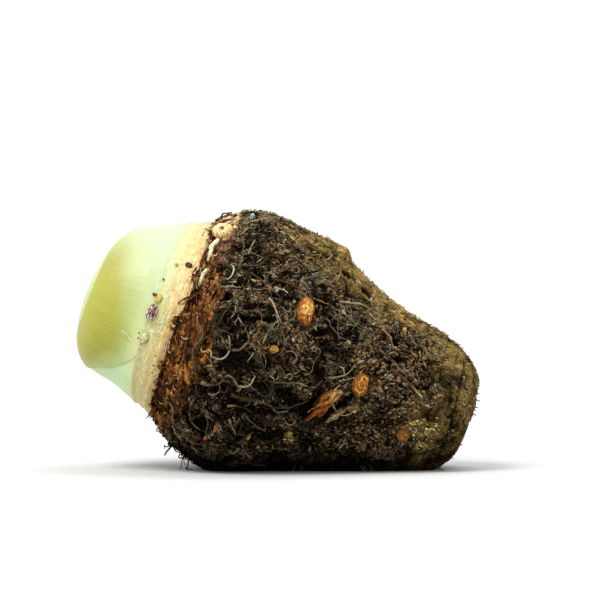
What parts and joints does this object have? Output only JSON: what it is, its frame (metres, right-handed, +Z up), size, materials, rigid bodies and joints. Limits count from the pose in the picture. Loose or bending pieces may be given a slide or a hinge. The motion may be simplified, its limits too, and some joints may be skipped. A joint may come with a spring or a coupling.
{
  "type": "taro root",
  "caption": "Whole taro root lying on its side: dark, hairy corm with matted rootlets and orange side buds, cream ring of leaf bases, and the pale green cut stub of its leaf stalks.",
  "frame": {"origin": "bottom centre of the whole object's bounding box, on the surface it rests on", "axes": "+X from the cut leaf stalks towards the old root end, +Z up, -Y towards the pictured front"},
  "size_m": [0.1806, 0.1182, 0.1157],
  "materials": {
    "bark": "matte, dark brown corky bark under matted rootlets",
    "leaf_base": "semi-matte, cream with brown stains and specks",
    "stalk": "satin, pale mint green plant tissue",
    "sheath": "satin, waxy yellow-green plant tissue",
    "bud": "semi-matte, orange-brown fibrous bud",
    "pale_bud": "semi-matte, pale cream cut bud",
    "purple_bud": "satin, purple-striped bud scales",
    "flake": "matte, pale papery bark",
    "root": "matte, brown fibrous root"
  },
  "bodies": {
    "root": {"corm": "bark", "leaf_base_ring": "leaf_base", "inner_leaf_stalk": "stalk", "outer_leaf_sheath": "sheath", "collar_bud": "purple_bud", "shoulder_bud": "pale_bud", "torn_root_base": "bud", "bark_flake": "flake", "side_bud_1": "bud", "side_bud_2": "bud", "side_bud_3": "bud", "side_bud_4": "bud", "side_bud_5": "bud", "root_01": "root", "root_02": "root", "root_03": "root", "root_04": "root", "root_05": "root", "root_06": "root", "root_07": "root", "root_08": "root", "root_09": "root", "root_10": "root", "root_11": "root", "root_12": "root", "root_13": "root", "root_14": "root", "root_15": "root", "root_16": "root", "root_17": "root"}
  },
  "joints": []
}
